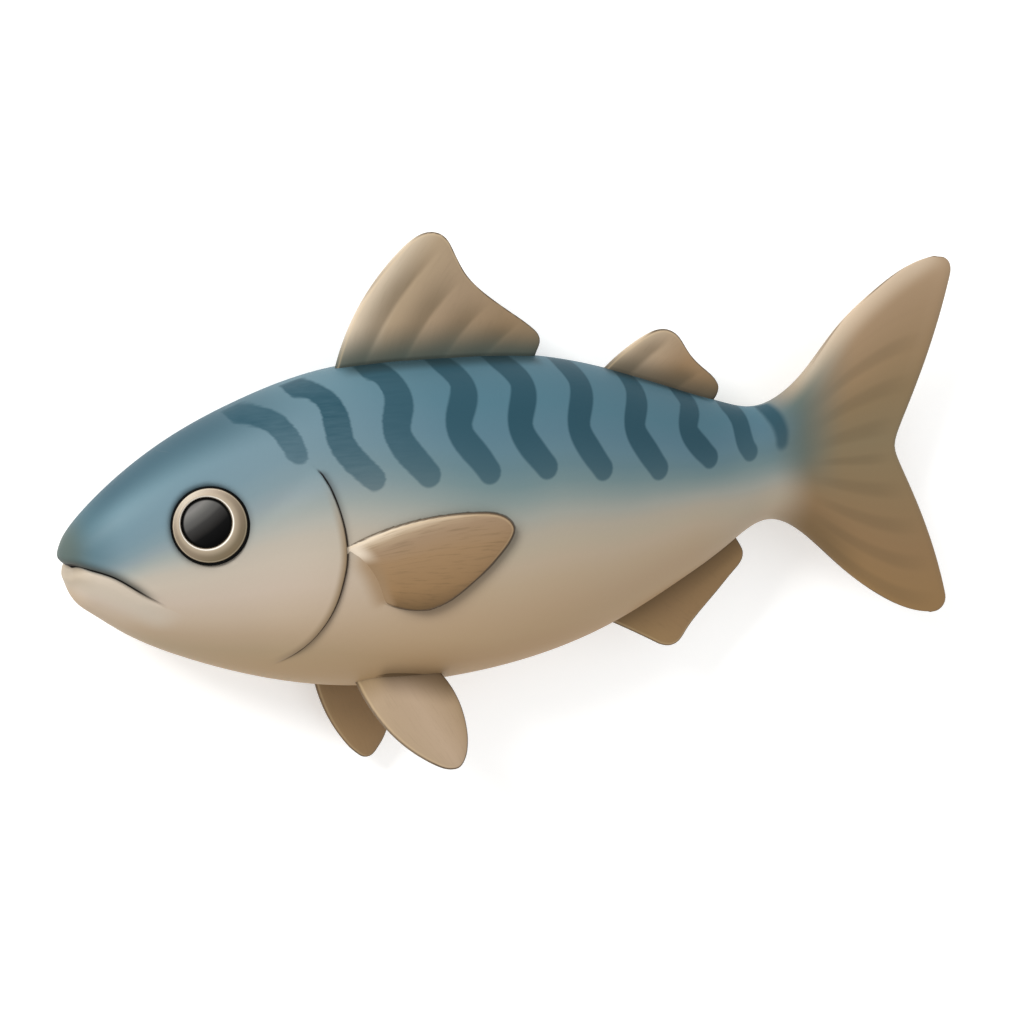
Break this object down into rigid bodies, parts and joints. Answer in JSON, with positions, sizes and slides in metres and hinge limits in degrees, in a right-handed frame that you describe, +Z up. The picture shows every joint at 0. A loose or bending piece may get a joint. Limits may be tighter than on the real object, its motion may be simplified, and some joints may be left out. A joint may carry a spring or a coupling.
{
  "type": "whole raw fish",
  "caption": "Whole raw fish lying on its right side, plump, with a banded back, fins, forked tail and separate eyes, resting on a flattened patch of its flank.",
  "frame": {"origin": "on the table, under the middle of the fish's bounding box", "axes": "+X from the snout to the tail, +Y towards the back and its fins, +Z up out of the left flank"},
  "size_m": [0.302, 0.165, 0.0565],
  "materials": {
    "skin": "moist skin with fine scales: blue with dark wavy bands on the back, pale beige on the belly and fins",
    "eye": "clear wet eye with a beige ring around a black pupil"
  },
  "bodies": {
    "root": {"fish": "skin", "eye_left": "eye", "eye_right": "eye"}
  },
  "joints": []
}
